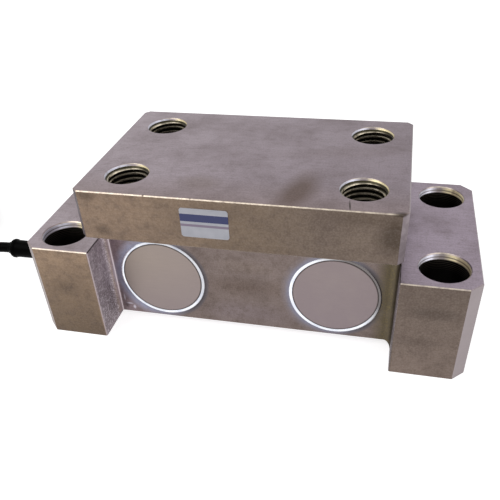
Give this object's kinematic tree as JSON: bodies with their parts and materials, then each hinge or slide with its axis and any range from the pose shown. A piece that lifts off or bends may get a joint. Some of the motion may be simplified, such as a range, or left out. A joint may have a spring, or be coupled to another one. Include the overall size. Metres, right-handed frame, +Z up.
{
  "type": "weighing load cell",
  "caption": "Double-ended shear-beam load cell milled from one billet: load plate, beam with welded pocket covers, two bolt-down feet, cable.",
  "frame": {"origin": "middle of the base, on the surface that the feet stand on, between the two feet", "axes": "+X along the beam to the end without the cable, +Y to the back, +Z up out of the load plate"},
  "size_m": [0.4566, 0.1422, 0.1],
  "materials": {
    "cell_steel": "ground and nickel plated, satin",
    "cover_steel": "fine ground sheet",
    "weld_bead": "smooth laser weld with heat tint",
    "gauge_foil": "polyimide film with constantan grids",
    "terminal_strip": "glass-fibre strip with tinned pads",
    "tinned_wire": "tinned copper",
    "gauge_coating": "translucent silicone",
    "circuit_board": "solder resist on glass fibre",
    "solder": "bright solder",
    "resistor": "black coated ceramic chip",
    "lead_insulation": "extruded insulation",
    "cable_jacket": "extruded polyurethane, satin",
    "potting": "cast epoxy",
    "gasket_rubber": "moulded nitrile rubber",
    "gland_metal": "turned brass, nickel plated",
    "boot_rubber": "moulded, smooth",
    "tie_nylon": "moulded nylon",
    "sleeve_plastic": "heat-shrink sleeve",
    "core_red": "extruded insulation",
    "core_black": "extruded insulation",
    "core_green": "extruded insulation",
    "core_white": "extruded insulation",
    "label_film": "printed polyester film"
  },
  "bodies": {
    "root": {"board_resistors": "resistor", "board_solder_pads": "solder", "body": "cell_steel", "cable_coil": "cable_jacket", "cable_cores_inner": "lead_insulation", "cable_inner": "cable_jacket", "cable_lead": "cable_jacket", "cable_tail": "cable_jacket", "coil_tie_1": "tie_nylon", "coil_tie_2": "tie_nylon", "coil_tie_3": "tie_nylon", "compensation_board": "circuit_board", "core_black": "core_black", "core_green": "core_green", "core_red": "core_red", "core_tips": "tinned_wire", "core_white": "core_white", "cover_front_left": "cover_steel", "cover_front_right": "cover_steel", "cover_rear_left": "cover_steel", "cover_rear_right": "cover_steel", "end_sleeve": "sleeve_plastic", "entry_potting": "potting", "gauge_coating_front_left": "gauge_coating", "gauge_coating_front_right": "gauge_coating", "gauge_coating_rear_left": "gauge_coating", "gauge_coating_rear_right": "gauge_coating", "gauge_jumpers_front_left": "tinned_wire", "gauge_jumpers_front_right": "tinned_wire", "gauge_jumpers_rear_left": "tinned_wire", "gauge_jumpers_rear_right": "tinned_wire", "gland_body": "gland_metal", "gland_gasket": "gasket_rubber", "gland_nut": "gland_metal", "gland_seal": "gasket_rubber", "label": "label_film", "lead_front_left": "lead_insulation", "lead_front_right": "lead_insulation", "lead_rear_left": "lead_insulation", "lead_rear_right": "lead_insulation", "screen_drain": "tinned_wire", "strain_gauge_front_left": "gauge_foil", "strain_gauge_front_right": "gauge_foil", "strain_gauge_rear_left": "gauge_foil", "strain_gauge_rear_right": "gauge_foil", "strain_relief_boot": "boot_rubber", "terminal_strip_front_left": "terminal_strip", "terminal_strip_front_right": "terminal_strip", "terminal_strip_rear_left": "terminal_strip", "terminal_strip_rear_right": "terminal_strip", "weld_bead_front_left": "weld_bead", "weld_bead_front_right": "weld_bead", "weld_bead_rear_left": "weld_bead", "weld_bead_rear_right": "weld_bead"}
  },
  "joints": []
}
